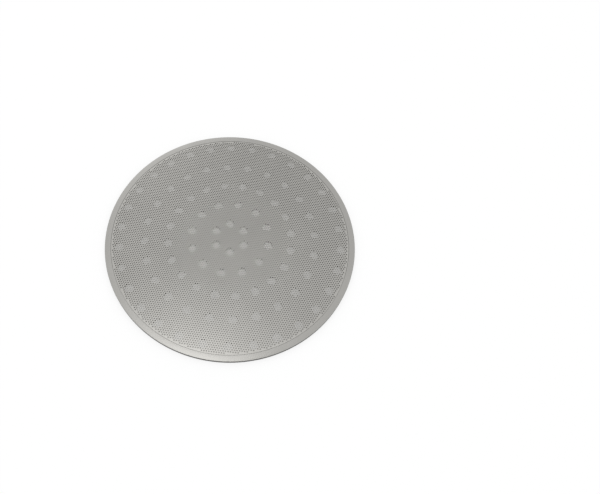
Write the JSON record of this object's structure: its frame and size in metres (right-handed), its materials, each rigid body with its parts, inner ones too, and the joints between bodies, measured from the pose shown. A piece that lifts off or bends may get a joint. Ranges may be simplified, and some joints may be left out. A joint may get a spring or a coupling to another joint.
{
  "type": "espresso puck screen",
  "caption": "Thin round steel screen laid on the coffee in a filter basket; a perforated plate with flow holes carries a finely etched foil inside a plain rim.",
  "frame": {"origin": "centre of the underside, which is the plate face that the screen lies on", "axes": "+Z is the disc's axis and points out of the fine face; +X and +Y are to the right and away in the pictured view"},
  "size_m": [0.051, 0.051, 0.0008],
  "materials": {
    "plate_steel": "satin stainless steel",
    "foil_steel": "etched satin stainless steel"
  },
  "bodies": {
    "root": {"perforated_plate": "plate_steel", "etched_foil": "foil_steel"}
  },
  "joints": []
}
